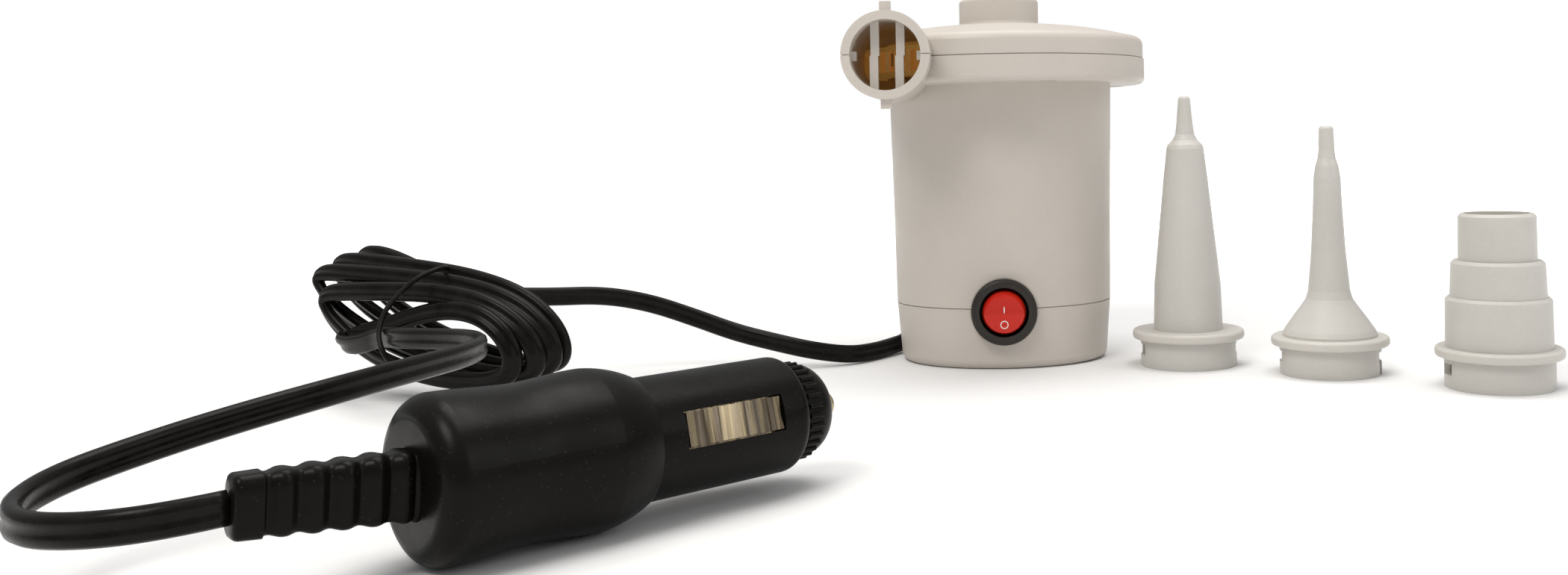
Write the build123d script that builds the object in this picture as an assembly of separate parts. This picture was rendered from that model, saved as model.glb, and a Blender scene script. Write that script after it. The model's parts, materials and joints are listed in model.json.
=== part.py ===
from build123d import *
import os
from math import cos, pi, radians, sin, tan

# Electric air mattress pump, 12 V, with three nozzles and a flat cord ending in a lighter plug.
# Millimetres.  Origin: centre of the pump's underside, +Z up, -Y the side with the switch
# and the outlet.  The loose nozzles, the hank of cord and the plug lie on the same table.

os.makedirs("parts", exist_ok=True)

# ------------------------------------------------------------------ driving dimensions
WALL = 2.0                       # moulded wall of the pump's shells
GAP = 0.15                       # clearance between neighbouring mouldings
SEAM_GROOVE = 0.26               # shadow line where two shells meet, its height
SEAM_DEPTH = 0.45

BODY_FOOT = (29.4, 24.0)         # half axes of the oval body at the table
BODY_SEAM = (30.7, 25.0)         # at the seam between base cap and main housing
BODY_TOP = (31.9, 26.0)          # under the fan head
SEAM_Z = 16.8
FLOOR = 2.4                      # base cap floor
FOOT_RADIUS = 2.5
TAB_BOTTOM = 11.6                # the main housing laps over the base cap at the rear left
BASE_SCREW_X = 24.6

HEAD_RADIUS = 41.6
HEAD_BOTTOM = 78.0
HEAD_SEAM = 85.0
HEAD_WALL_TOP = 91.2
DOME_TOP = 95.3
DECK_TOP = 80.4                  # floor of the fan chamber
DECK_BOTTOM = 76.0
HEAD_WALL = 2.3
HEAD_SCREW_RADIUS = 36.4
HEAD_SCREW_ANGLES = (20.0, 110.0, 160.0, 290.0)

SPIGOT_OD = 22.8                 # outlet and inlet take the same nozzle collars
SPIGOT_ID = 18.2
INLET_TOP = 103.0
OUTLET_X = -29.2
OUTLET_FRONT = -48.0
OUTLET_BACK = -6.0
LUG = (2.8, 2.6, 2.4)            # bayonet lug: width, length along the spigot, height
LUG_SETBACK = 1.4
BAR_WIDTH = 2.2
BAR_OFFSET = 3.3
BAR_SETBACK = 5.0

MOTOR_OD = 35.8
MOTOR_BOTTOM = 36.0
MOTOR_TOP = DECK_BOTTOM
SHAFT_D = 2.3
MOTOR_SCREW_PITCH = 16.0
FAN_RADIUS = 32.6
FAN_BOTTOM = 82.2
FAN_TOP = 90.0
FAN_BLADES = 9
FAN_EYE_RADIUS = 12.0
GUIDE_OUTER = 39.2               # fixed vanes between the fan and the outlet
GUIDE_INNER = 33.4
GUIDE_TOP = 88.5
GUIDE_SECTOR = (172.0, 246.0)    # degrees round from +X
GUIDE_VANES = 12

SWITCH_Z = 16.0
SWITCH_FACE_Y = -25.2            # flat land that the switch bezel seats on
BEZEL_D = 18.0
BEZEL_THICK = 2.6
SWITCH_BODY_D = 14.0
ROCKER_D = 12.0
ROCKER_POCKET_D = 13.4
ROCKER_PIVOT_Y = -24.6
ROCKER_TILT = 10.0               # either side of level

CORD_WIDTH = 5.0                 # flat twin cord, its width
COLLAR_OD = 26.1                 # nozzle collar that goes over a spigot
COLLAR_ID = 23.2
COLLAR_HEIGHT = 7.4
SLOT_LOW = 3.2                   # bayonet slot in the collar
SLOT_HIGH = 6.0
SLOT_ENTRY_WIDTH = 3.2
SLOT_SWEEP = 30.0                # degrees that a lug turns in the slot
FLANGE_OD = 30.4
FLANGE_TOP = 9.8
NOZZLE_WALL = 1.4
STEP_TOPS = (22.1, 31.0, 42.5)
STEP_RADII = ((12.75, 12.5), (11.4, 11.05), (9.3, 9.2))

CONE_AT = (50.6, -20.0)
FUNNEL_AT = (85.4, -37.8)
STEPPED_AT = (121.1, -62.2)
CONE_TURN = 168.0                # degrees round from +X to a slot's entry
FUNNEL_TURN = 155.0
STEPPED_TURN = 163.0

PLUG_REAR = (-88.7, -195.2, 13.4)
PLUG_HEADING = 46.0              # degrees from +X
PLUG_ROLL = 14.0                 # the side contacts stand this far above level
GRIP_LENGTH = 36.5
BARREL_D = 20.9
BARREL_END = 67.8
CAP_D = 18.0
CONTACT_CENTRE = 51.5            # along the plug from its rear face
CONTACT_LENGTH = 19.0
CONTACT_HEIGHT = 5.7
RELIEF_HEADING = 42.0            # degrees; the tail bends a little from the plug's line
RELIEF_LIFT = -2.9
RELIEF_RIBS = 6
RELIEF_PITCH = 4.0

GLAND_EXIT = (-27.2, 15.2, 6.6)
GLAND_HEADING = (-0.44, -0.553, -0.707)
LEAD_ROUTE = [
    GLAND_EXIT, (-29.4, 12.5, 3.1), (-33.0, 6.0, 2.7), (-37.4, -3.2, 2.6), (-43.8, -11.0, 2.9),
    (-53.9, -14.2, 4.8), (-64.5, -13.6, 7.3), (-75.5, -11.8, 9.9), (-87.0, -12.0, 14.4),
    (-98.5, -15.5, 19.2), (-110.0, -21.0, 22.2), (-121.5, -29.0, 22.8), (-132.0, -37.0, 24.0),
    (-142.5, -41.5, 26.0),
]
TAIL_ROUTE = [
    (-106.53, -211.25, 14.6), (-112.6, -216.2, 14.1), (-123.4, -217.4, 13.3), (-133.9, -213.6, 12.8),
    (-141.2, -205.0, 13.2), (-142.6, -193.6, 14.5), (-137.6, -182.2, 16.3), (-129.2, -172.0, 18.6),
    (-120.6, -160.6, 20.4), (-114.6, -147.0, 21.3), (-111.4, -132.4, 21.3), (-109.9, -117.6, 20.9),
    (-111.6, -103.8, 20.6), (-118.6, -91.6, 20.2), (-130.0, -82.0, 19.4), (-143.0, -74.0, 18.6),
    (-152.0, -63.0, 17.6), (-156.0, -51.5, 17.2),
]
HANK_CENTRE = (-145.0, -48.0, 0.0)
HANK_HEADING = -23.0
HANK_SHIFT = -1.0                # the bundle leans to the front
HANK_STATIONS = [                # along, half depth, half height, middle height
    (-36.8, 5.0, 5.0, 29.5), (-28.0, 9.5, 12.0, 24.5), (0.0, 10.2, 13.0, 19.0),
    (22.0, 10.5, 14.2, 16.8), (36.0, 9.0, 9.5, 12.0), (41.2, 4.5, 4.5, 9.5),
]
TIE_ALONG = -5.4
TIE_WIDTH = 1.3
TIE_SECTION = (11.4, 14.2, 19.8)


def save(name, shape):
    """Write one piece as its own file."""
    export_step(shape, "parts/" + name + ".step")


def post(diameter, bottom, top, x=0.0, y=0.0):
    """Upright round bar between two heights."""
    height = top - bottom
    return Pos(x, y, bottom + height / 2) * Cylinder(diameter / 2, height)


def ring(outer, inner, bottom, top):
    return post(outer, bottom, top) - post(inner, bottom, top)


def oval_block(low_axes, low_z, high_axes, high_z):
    """Solid between two ovals."""
    return loft([Pos(0, 0, low_z) * Ellipse(*low_axes), Pos(0, 0, high_z) * Ellipse(*high_axes)],
                ruled=True)


def inset(axes, wall):
    return (axes[0] - wall, axes[1] - wall)


def turned(points):
    """Solid of revolution about Z from (radius, height) points, which may include arcs."""
    return revolve(make_face(Plane.XZ * Polyline(*points, close=True)), Axis.Z)


def along_y(diameter, front, back, x, z):
    """Round bar parallel to Y."""
    length = back - front
    return Pos(x, front + length / 2, z) * Rot(90, 0, 0) * Cylinder(diameter / 2, length)


def half(shape, z, keep_top):
    """The part of a shape above or below a level."""
    size = 400.0
    centre = z + size / 2 if keep_top else z - size / 2
    return shape & Pos(0, 0, centre) * Box(size, size, size)


# ------------------------------------------------------------------ pump shells
def outlet_outer():
    """Spigot of the outlet with a rounded inner end and its two bayonet lugs."""
    tube = along_y(SPIGOT_OD, OUTLET_FRONT, OUTLET_BACK, OUTLET_X, HEAD_SEAM)
    end = Pos(OUTLET_X, OUTLET_BACK, HEAD_SEAM) * Sphere(SPIGOT_OD / 2)
    lug_y = OUTLET_FRONT + LUG_SETBACK + LUG[1] / 2
    lug_z = SPIGOT_OD / 2 + LUG[2] / 2 - 0.3
    lugs = [Pos(OUTLET_X, lug_y, HEAD_SEAM + side * lug_z) * Box(LUG[0], LUG[1], LUG[2] + 0.6)
            for side in (1, -1)]
    return tube + end + lugs


def outlet_inner():
    """Air way of the outlet."""
    tube = along_y(SPIGOT_ID, OUTLET_FRONT - 1, OUTLET_BACK, OUTLET_X, HEAD_SEAM)
    return tube + Pos(OUTLET_X, OUTLET_BACK, HEAD_SEAM) * Sphere(SPIGOT_ID / 2)


def outlet_bars(shift):
    """Finger guard across the air way, and the two small lugs on the seam."""
    bar_y = OUTLET_FRONT + BAR_SETBACK + 1.1
    bars = [Pos(OUTLET_X + side * BAR_OFFSET + shift, bar_y, HEAD_SEAM) * Box(BAR_WIDTH, 2.2, SPIGOT_ID)
            for side in (1, -1)]
    keys = [Pos(OUTLET_X + side * (SPIGOT_ID / 2 - 0.5), bar_y, HEAD_SEAM) * Box(1.6, 2.2, 2.4)
            for side in (1, -1)]
    bore = along_y(SPIGOT_ID + 0.4, OUTLET_FRONT, OUTLET_BACK, OUTLET_X, HEAD_SEAM)
    return (bars[0] + bars[1] + keys[0] + keys[1]) & bore


def tab_block(axes_low, axes_high, bottom, top):
    """Rear left sector of the oval wall, where the main housing laps over the base cap."""
    sector = Pos(-32.0, 17.5, (bottom + top) / 2) * Box(30.0, 30.0, top - bottom)
    return oval_block(axes_low, bottom, axes_high, top) & sector


def head_screw_places():
    return [(HEAD_SCREW_RADIUS * cos(radians(a)), HEAD_SCREW_RADIUS * sin(radians(a)))
            for a in HEAD_SCREW_ANGLES]


def switch_hole():
    return along_y(SWITCH_BODY_D, -40.0, -15.0, 0, SWITCH_Z)


def switch_land():
    """Round flat land on the front of the body."""
    return along_y(BEZEL_D + 0.8, SWITCH_FACE_Y, -22.0, 0, SWITCH_Z)


def base_cap():
    shell = oval_block(BODY_FOOT, 0, BODY_SEAM, SEAM_Z)
    shell = fillet(shell.faces().sort_by(Axis.Z)[0].edges(), FOOT_RADIUS)
    shell += half(switch_land(), SEAM_Z, False)
    hollow = oval_block(inset(BODY_FOOT, WALL), FLOOR, inset(BODY_SEAM, WALL), SEAM_Z + 0.01)
    shell -= hollow
    lip_axes = inset(BODY_SEAM, WALL + GAP)
    lip = oval_block(lip_axes, SEAM_Z - 3.0, lip_axes, SEAM_Z + 1.6)
    lip -= oval_block(inset(lip_axes, 0.9), SEAM_Z - 3.1, inset(lip_axes, 0.9), SEAM_Z + 1.7)
    shell += lip & oval_block(inset(BODY_FOOT, 1.0), 5.0, (BODY_TOP[0], BODY_TOP[1]), 30.0)
    for side in (1, -1):
        x = side * BASE_SCREW_X
        shell += post(6.8, FLOOR - 0.2, SEAM_Z - GAP, x) & oval_block(inset(BODY_FOOT, 1), 0.5,
                                                                     inset(BODY_SEAM, 1), SEAM_Z)
        shell -= post(3.3, -1, SEAM_Z + 3, x)
        shell -= post(6.0, -1, 3.0, x)
    shell -= switch_hole()
    shell -= tab_block((40.0, 40.0), (40.0, 40.0), TAB_BOTTOM - GAP, SEAM_Z + 3)
    seam_axes = inset(BODY_SEAM, SEAM_DEPTH)
    slab = Pos(0, 0, SEAM_Z - SEAM_GROOVE / 2) * Box(90.0, 90.0, SEAM_GROOVE)
    return shell - (slab - oval_block(seam_axes, SEAM_Z - 1, seam_axes, SEAM_Z + 1))


def main_housing():
    body = oval_block(BODY_SEAM, SEAM_Z, BODY_TOP, HEAD_BOTTOM + 0.5)
    head = post(2 * HEAD_RADIUS, HEAD_BOTTOM, HEAD_SEAM)
    head = fillet(head.faces().sort_by(Axis.Z)[0].edges(), 1.6)
    shell = body + head + half(outlet_outer(), HEAD_SEAM, False)
    shell += half(switch_land(), SEAM_Z, True)
    tab_axes = (BODY_SEAM[0] - 0.1, BODY_SEAM[1] - 0.1)
    shell += tab_block(tab_axes, BODY_SEAM, TAB_BOTTOM, SEAM_Z + 0.2)
    shell -= oval_block(inset(BODY_FOOT, WALL), 2.0, inset(BODY_SEAM, WALL), SEAM_Z)
    shell -= oval_block(inset(BODY_SEAM, WALL), SEAM_Z - 0.01, inset(BODY_TOP, WALL), DECK_BOTTOM)
    for side in (1, -1):
        x = side * BASE_SCREW_X
        boss_low, boss_high = SEAM_Z + GAP + 1.8, SEAM_Z + 16.0
        rib = Pos(x + side * 3.5, 0, (boss_low + boss_high) / 2) * Box(7.0, 2.4, boss_high - boss_low)
        shell += (post(6.8, boss_low, boss_high, x) + rib) & body
        shell -= post(2.9, SEAM_Z - 1, SEAM_Z + 12.0, x)
    shell -= post(2 * (HEAD_RADIUS - HEAD_WALL), DECK_TOP, HEAD_SEAM + 1)
    for x, y in head_screw_places():
        shell += post(6.0, DECK_TOP - 1, HEAD_SEAM, x, y) & head
        shell -= post(3.2, HEAD_BOTTOM - 1, HEAD_SEAM + 1, x, y)
        shell -= post(5.8, HEAD_BOTTOM - 1, HEAD_BOTTOM + 2.2, x, y)
    shell -= half(outlet_inner(), HEAD_SEAM, False)
    shell += half(outlet_bars(0.0), HEAD_SEAM, False)
    shell -= post(10.4, DECK_BOTTOM - 1, DECK_BOTTOM + 2.2)
    shell -= post(6.4, DECK_BOTTOM - 1, DECK_TOP + 1)
    for side in (1, -1):
        x = side * MOTOR_SCREW_PITCH / 2
        shell -= post(2.8, DECK_BOTTOM - 1, DECK_TOP + 1, x)
        shell -= post(5.0, DECK_TOP - 1.7, DECK_TOP + 1, x)
    shell -= switch_hole()
    return shell


def upper_housing():
    boss = SPIGOT_OD / 2
    rim = HEAD_RADIUS - 0.3
    outer = Polyline((0, HEAD_SEAM), (rim, HEAD_SEAM), (rim, HEAD_WALL_TOP - 1.9))
    shoulder = ThreePointArc(outer @ 1, (rim - 0.7, HEAD_WALL_TOP - 0.5), (rim - 2.4, HEAD_WALL_TOP + 0.2))
    dome = ThreePointArc(shoulder @ 1, (27.0, 93.9), (boss + 1.2, DOME_TOP))
    root = ThreePointArc(dome @ 1, (boss + 0.35, DOME_TOP + 0.35), (boss, DOME_TOP + 1.2))
    top = Polyline(root @ 1, (boss, INLET_TOP), (0, INLET_TOP), (0, HEAD_SEAM))
    shell = revolve(make_face(Plane.XZ * Wire([*outer.edges(), shoulder, dome, root, *top.edges()])), Axis.Z)
    shell = fillet(shell.edges().group_by(Axis.Z)[-1], 1.0)
    wall_in = HEAD_RADIUS - HEAD_WALL
    chamber = turned([(0, HEAD_SEAM - 1), (wall_in, HEAD_SEAM - 1), (wall_in, 88.6), (wall_in - 1.6, 89.9),
                      (13.5, 92.6), (0, 92.6)])
    shell -= chamber
    shell -= post(SPIGOT_ID, 90.0, INLET_TOP + 1)
    shell += half(outlet_outer(), HEAD_SEAM, True) - chamber - post(SPIGOT_ID, 90.0, INLET_TOP + 1)
    for x, y in head_screw_places():
        shell += post(6.0, HEAD_SEAM, 90.4, x, y)
        shell -= post(2.9, HEAD_SEAM - 1, 89.0, x, y)
    shell -= half(outlet_inner(), HEAD_SEAM, True)
    shell += half(outlet_bars(0.3), HEAD_SEAM, True)
    shell += inlet_grille()
    core = post(2 * (rim - SEAM_DEPTH), HEAD_SEAM - 1, HEAD_SEAM + 1)
    tube_length = OUTLET_BACK - OUTLET_FRONT - SEAM_DEPTH
    tube = Box(SPIGOT_OD - 2 * SEAM_DEPTH, tube_length, 2.0)
    core += Pos(OUTLET_X, OUTLET_BACK - tube_length / 2, HEAD_SEAM) * tube
    slab = Pos(0, 0, HEAD_SEAM + SEAM_GROOVE / 2) * Box(120.0, 120.0, SEAM_GROOVE)
    return shell - (slab - core)


def inlet_grille():
    """Ring and four spokes, deep enough inside the inlet for a nozzle to pass over the rim."""
    low, high = 95.6, 97.8
    spokes = [Rot(0, 0, 45 * i) * Pos(0, 0, (low + high) / 2) * Box(SPIGOT_ID + 0.6, 1.5, high - low)
              for i in range(4)]
    grille = ring(9.6, 6.6, low, high) + spokes
    return grille - post(2.4, low - 1, high + 1)


# ------------------------------------------------------------------ motor and fan
def motor_pieces():
    can_low = MOTOR_BOTTOM + 3.0
    radius = MOTOR_OD / 2
    can = post(MOTOR_OD, can_low, MOTOR_TOP) - post(MOTOR_OD - 2.4, can_low - 1, MOTOR_TOP - 1.4)
    can += post(10.0, MOTOR_TOP - 2.0, MOTOR_TOP + 2.0)
    can -= post(6.0, MOTOR_TOP - 3.0, MOTOR_TOP + 3.0)
    for side in (1, -1):
        can -= post(2.4, MOTOR_TOP - 3, MOTOR_TOP + 1, side * MOTOR_SCREW_PITCH / 2)
    end_cap = post(MOTOR_OD, MOTOR_BOTTOM, can_low) - post(6.0, MOTOR_BOTTOM - 1, can_low + 1)
    for side in (1, -1):
        end_cap -= Pos(side * 12.0, 0, MOTOR_BOTTOM) * Box(1.2, 5.4, 8.0)
    save("motor_can", can)
    save("motor_end_cap", end_cap)
    save("bushing_front", ring(6.0, SHAFT_D + 0.1, MOTOR_TOP - 2.0, MOTOR_TOP + 2.0))
    save("bushing_rear", ring(6.0, SHAFT_D + 0.1, MOTOR_BOTTOM, can_low))
    magnet_low, magnet_high = can_low + 7.0, MOTOR_TOP - 5.0
    sleeve = ring(MOTOR_OD - 2.4, 27.6, magnet_low, magnet_high)
    for side, name in ((1, "magnet_left"), (-1, "magnet_right")):
        save(name, sleeve & Pos(0, side * radius, 56.0) * Box(30.0, 27.0, 60.0))
    for side, name in ((1, "motor_terminal_left"), (-1, "motor_terminal_right")):
        save(name, Pos(side * 12.0, 0, MOTOR_BOTTOM - 1.0) * Box(0.8, 4.8, 9.0))
    for side, name in ((1, "brush_left"), (-1, "brush_right")):
        save(name, Pos(side * 6.3, 0, can_low + 3.0) * Box(4.0, 3.0, 3.0))
    core_low, core_high = can_low + 10.0, MOTOR_TOP - 8.0
    core = post(26.0, core_low, core_high) - post(SHAFT_D, core_low - 1, core_high + 1)
    slots = [Rot(0, 0, 72 * i) * Pos(11.5, 0, 56.0) * Box(5.0, 1.6, 60.0) for i in range(5)]
    save("rotor_core", core - slots)
    for low, high, name in ((core_low - 3.5, core_low, "winding_rear"), (core_high, core_high + 3.5,
                                                                         "winding_front")):
        save(name, ring(21.0, 5.0, low, high))
    save("commutator", ring(8.0, SHAFT_D, can_low + 0.6, core_low - 3.6))
    shaft = post(SHAFT_D, MOTOR_BOTTOM - 1.5, FAN_TOP - 0.5)
    save("motor_shaft", shaft)
    for side, name in ((1, "motor_screw_left"), (-1, "motor_screw_right")):
        x = side * MOTOR_SCREW_PITCH / 2
        screw = post(4.6, DECK_TOP - 1.7, DECK_TOP - 0.2, x) + post(2.3, MOTOR_TOP - 1.3, DECK_TOP - 1.7, x)
        save(name, screw - Pos(x, 0, DECK_TOP) * Box(2.6, 0.6, 1.4))


def impeller():
    """Closed centrifugal fan: back plate, hub, backward curved blades and front ring."""
    fan = post(2 * FAN_RADIUS, FAN_BOTTOM, FAN_BOTTOM + 1.6) + post(9.0, FAN_BOTTOM, FAN_TOP - 0.6)
    blade_line = ThreePointArc((6.5, 0), (18.0, 5.5), (FAN_RADIUS - 0.6, 2.0))
    offset_line = ThreePointArc((6.5, 1.4), (17.6, 6.9), (FAN_RADIUS - 0.6, 3.4))
    outline = Wire([blade_line, Line(blade_line @ 1, offset_line @ 1), offset_line,
                    Line(offset_line @ 0, blade_line @ 0)])
    blade = Pos(0, 0, FAN_BOTTOM + 1.4) * extrude(make_face(outline), FAN_TOP - FAN_BOTTOM - 1.4)
    fan += [Rot(0, 0, 360.0 / FAN_BLADES * i) * blade for i in range(FAN_BLADES)]
    fan += ring(2 * FAN_RADIUS, 2 * FAN_EYE_RADIUS, FAN_TOP - 1.2, FAN_TOP)
    return fan - post(SHAFT_D, FAN_BOTTOM - 1, FAN_TOP + 1)


def air_guide():
    """Sector of a ring with slanted vanes, lying on the deck at the inner end of the outlet."""
    first, last = GUIDE_SECTOR
    plate = 1.2
    low, high = DECK_TOP, GUIDE_TOP
    band = ring(2 * GUIDE_OUTER, 2 * GUIDE_INNER, low, high)
    window = ring(2 * GUIDE_OUTER + 1, 2 * GUIDE_INNER - 1, low + plate, high - plate)
    step = (last - first) / (GUIDE_VANES - 1)
    vanes = [Rot(0, 0, first + step * i) * Pos((GUIDE_OUTER + GUIDE_INNER) / 2, 0, (low + high) / 2)
             * Rot(0, 0, 58.0) * Box(8.0, 1.0, high - low) for i in range(GUIDE_VANES)]
    guide = (band - window) + (band & (vanes[0] + vanes[1:]))
    reach = 60.0
    middle = radians((first + last) / 2)
    wedge = Polyline((0, 0), (reach * cos(radians(first - 2)), reach * sin(radians(first - 2))),
                     (reach * 1.4 * cos(middle), reach * 1.4 * sin(middle)),
                     (reach * cos(radians(last + 2)), reach * sin(radians(last + 2))), close=True)
    return guide & Pos(0, 0, low - 1) * extrude(make_face(wedge), 20.0)


# ------------------------------------------------------------------ switch
def switch_body():
    front = SWITCH_FACE_Y - BEZEL_THICK
    bezel = along_y(BEZEL_D, front, SWITCH_FACE_Y, 0, SWITCH_Z)
    bezel = fillet(bezel.faces().sort_by(Axis.Y)[0].edges(), 1.1)
    bezel += along_y(SWITCH_BODY_D - 0.2, SWITCH_FACE_Y, -10.0, 0, SWITCH_Z)
    pocket = along_y(ROCKER_POCKET_D, front - 1, -16.5, 0, SWITCH_Z)
    for side in (1, -1):
        bezel -= Pos(side * 3.2, -10.0, SWITCH_Z) * Box(0.9, 8.0, 5.0)
    return bezel - pocket


def switch_rocker():
    """Rocker rounded about its pivot, with a shallow V in its face."""
    reach = 6.2
    valley = 2.9
    rise = reach * tan(radians(ROCKER_TILT))
    back = 3.4
    outline = Polyline((-valley, 0), (-valley - rise, reach), (back, reach), (back, -reach),
                       (-valley - rise, -reach), close=True)
    button = extrude(Plane.YZ * make_face(outline), ROCKER_D, both=True)
    button &= Sphere(reach) & Rot(90, 0, 0) * Cylinder(ROCKER_D / 2, 40.0)
    return Pos(0, ROCKER_PIVOT_Y, SWITCH_Z) * Rot(ROCKER_TILT, 0, 0) * button


# ------------------------------------------------------------------ nozzles
def nozzle_base():
    """Collar and flange, with two L shaped bayonet slots."""
    collar = ring(COLLAR_OD, COLLAR_ID, 0, COLLAR_HEIGHT + 0.2)
    flange = post(FLANGE_OD, COLLAR_HEIGHT, FLANGE_TOP)
    flange = fillet(flange.edges(), 0.8)
    base = collar + flange
    entry_half = 8.0                 # degrees: half the entry's width round the collar
    reach = 20.0
    for start in (0.0, 180.0):
        entry = Pos(reach / 2, 0, SLOT_HIGH / 2) * Box(reach, SLOT_ENTRY_WIDTH, SLOT_HIGH)
        wedge = Polyline((0, 0), (reach * cos(radians(entry_half)), -reach * sin(radians(entry_half))),
                         (reach * cos(radians(SLOT_SWEEP)), reach * sin(radians(SLOT_SWEEP))), close=True)
        leg = Pos(0, 0, SLOT_LOW) * extrude(make_face(wedge), SLOT_HIGH - SLOT_LOW)
        slots = (entry + leg) - post(COLLAR_ID - 2.0, -1, SLOT_HIGH + 1)
        base -= Rot(0, 0, start) * slots
    return base


def nozzle(outline, bore_outline, turn):
    """Nozzle on its collar: outer and inner outlines are (radius, height) from the flange up."""
    top = outline[-1][1]
    spout = turned([(0, COLLAR_HEIGHT + 0.2)] + outline + [(0, top)])
    mouth = COLLAR_ID / 2
    bore = turned([(0, -1), (mouth, -1), (mouth, COLLAR_HEIGHT)] + bore_outline + [(0, top + 1)])
    return Rot(0, 0, turn) * (nozzle_base() + spout - bore)


def nozzle_cone():
    outline = [(9.6, COLLAR_HEIGHT + 0.2), (9.4, 10.6), (9.05, 22.0), (7.8, 34.5), (6.05, 51.0), (5.1, 59.2),
               (4.7, 60.3), (3.4, 61.6), (2.6, 63.2), (2.2, 66.0), (1.6, 73.1), (1.2, 73.6)]
    bore = [(8.0, COLLAR_HEIGHT + 1.6), (7.7, 22.0), (6.4, 34.5), (4.7, 51.0), (3.7, 58.6), (1.0, 63.0),
            (0.9, 74.6)]
    return nozzle(outline, bore, CONE_TURN)


def nozzle_funnel():
    outline = [(12.4, COLLAR_HEIGHT + 0.2), (12.2, 10.4), (11.6, 11.6), (9.35, 14.8), (7.05, 17.9),
               (6.0, 19.5), (5.4, 21.6), (4.45, 32.0), (3.75, 44.7), (3.5, 51.0), (3.0, 54.2), (2.35, 56.2),
               (2.05, 58.4), (1.82, 64.1), (1.4, 64.6)]
    bore = [(10.4, COLLAR_HEIGHT + 1.6), (10.0, 11.4), (5.6, 17.6), (4.3, 20.6), (3.2, 32.0), (2.4, 51.0),
            (1.1, 56.0), (1.0, 65.6)]
    return nozzle(outline, bore, FUNNEL_TURN)


def nozzle_stepped():
    outline = [(STEP_RADII[0][0], COLLAR_HEIGHT + 0.2)]
    bore = [(STEP_RADII[0][1] - NOZZLE_WALL - 0.4, COLLAR_HEIGHT + 1.6)]
    ease = 0.7
    for (low, high), top in zip(STEP_RADII, STEP_TOPS):
        if len(outline) > 1:
            outline.append((low, outline[-1][1]))
        outline += [(high, top - ease), (high - ease, top)]
        bore += [(low - NOZZLE_WALL, bore[-1][1] + 0.8), (high - NOZZLE_WALL, top - NOZZLE_WALL)]
    bore[-1] = (bore[-1][0], STEP_TOPS[-1] + 1)
    return nozzle(outline, bore, STEPPED_TURN)


# ------------------------------------------------------------------ plug
def plug_frame():
    """Plane at the plug's rear face: its Z runs to the tip, its X out of one side contact."""
    heading, roll = radians(PLUG_HEADING), radians(PLUG_ROLL)
    axis = Vector(cos(heading), sin(heading), 0)
    side = Vector(sin(heading) * cos(roll), -cos(heading) * cos(roll), sin(roll))
    return Plane(origin=PLUG_REAR, x_dir=side, z_dir=axis)


def plug_grip():
    rear, waist, flare = 13.1, 12.6, 13.35
    face = Line((0, 0), (rear - 3.6, 0))
    heel = ThreePointArc(face @ 1, (rear - 0.95, 1.25), (rear, 4.2))
    flank = Spline(heel @ 1, (waist, 17.0), (flare, 28.6), tangents=((0, 1), (0, 1)))
    nose = ThreePointArc(flank @ 1, (flare - 0.75, 32.8), (BARREL_D / 2 + 0.7, GRIP_LENGTH))
    back = Polyline(nose @ 1, (0, GRIP_LENGTH), (0, 0))
    body = revolve(make_face(Plane.XZ * Wire([face, heel, flank, nose, *back.edges()])), Axis.Z)
    body -= post(BARREL_D, 9.0, GRIP_LENGTH + 1)
    return body - post(5.0, -1, 10.0)


def plug_barrel():
    wall, neck, shoulder = 1.8, 14.0, 2.2
    tube = post(BARREL_D, 9.0, BARREL_END)
    tube = fillet(tube.faces().sort_by(Axis.Z)[-1].edges(), shoulder)
    tube += post(neck, BARREL_END - 1, BARREL_END + 3.2)
    tube -= post(BARREL_D - 2 * wall, 8.0, BARREL_END - 2.5)
    tube -= post(9.6, BARREL_END - 3, BARREL_END + 5)
    window = Pos(0, 0, CONTACT_CENTRE) * Box(60.0, CONTACT_HEIGHT + 0.6, CONTACT_LENGTH + 0.8)
    return tube - (window - post(BARREL_D - 2 * wall - 2.0, 0, 90.0))


def side_contact(side):
    """Sprung strip that bows out of the barrel's window, with a foot that keeps it in."""
    low, high = CONTACT_CENTRE - CONTACT_LENGTH / 2, CONTACT_CENTRE + CONTACT_LENGTH / 2
    surface, proud, inner = 10.0, 11.6, 7.2
    bow = ThreePointArc((surface, low), (proud, CONTACT_CENTRE), (surface, high))
    outline = Wire([bow, *Polyline(bow @ 1, (inner, high), (inner, low), bow @ 0).edges()])
    strip = extrude(Plane.XZ * make_face(outline), CONTACT_HEIGHT / 2, both=True)
    foot = Pos(inner + 0.3, 0, CONTACT_CENTRE) * Box(0.6, 6.4, CONTACT_LENGTH + 3.0)
    return Rot(0, 0, 0 if side > 0 else 180) * (strip + foot)


def plug_cap():
    """Knurled screw cap: ribs behind, a dome in front, a hole for the tip contact."""
    rear, knurl_end, front = BARREL_END + 0.3, BARREL_END + 3.6, BARREL_END + 8.0
    radius = CAP_D / 2
    skirt = Polyline((0, rear), (radius - 0.5, rear), (radius - 0.5, knurl_end))
    dome = ThreePointArc(skirt @ 1, (radius - 1.6, knurl_end + 2.6), (4.4, front))
    back = Polyline(dome @ 1, (0, front), (0, rear))
    cap = revolve(make_face(Plane.XZ * Wire([*skirt.edges(), dome, *back.edges()])), Axis.Z)
    ribs = 30
    rib = Pos(radius - 0.5, 0, (rear + knurl_end) / 2) * Cylinder(0.5, knurl_end - rear - 0.4)
    cap += [Rot(0, 0, 360.0 / ribs * i) * rib for i in range(ribs)]
    cap -= post(14.8, rear - 1, BARREL_END + 3.5) + post(9.4, rear - 1, BARREL_END + 5.6)
    return cap - post(5.2, rear - 1, front + 1)


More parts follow.
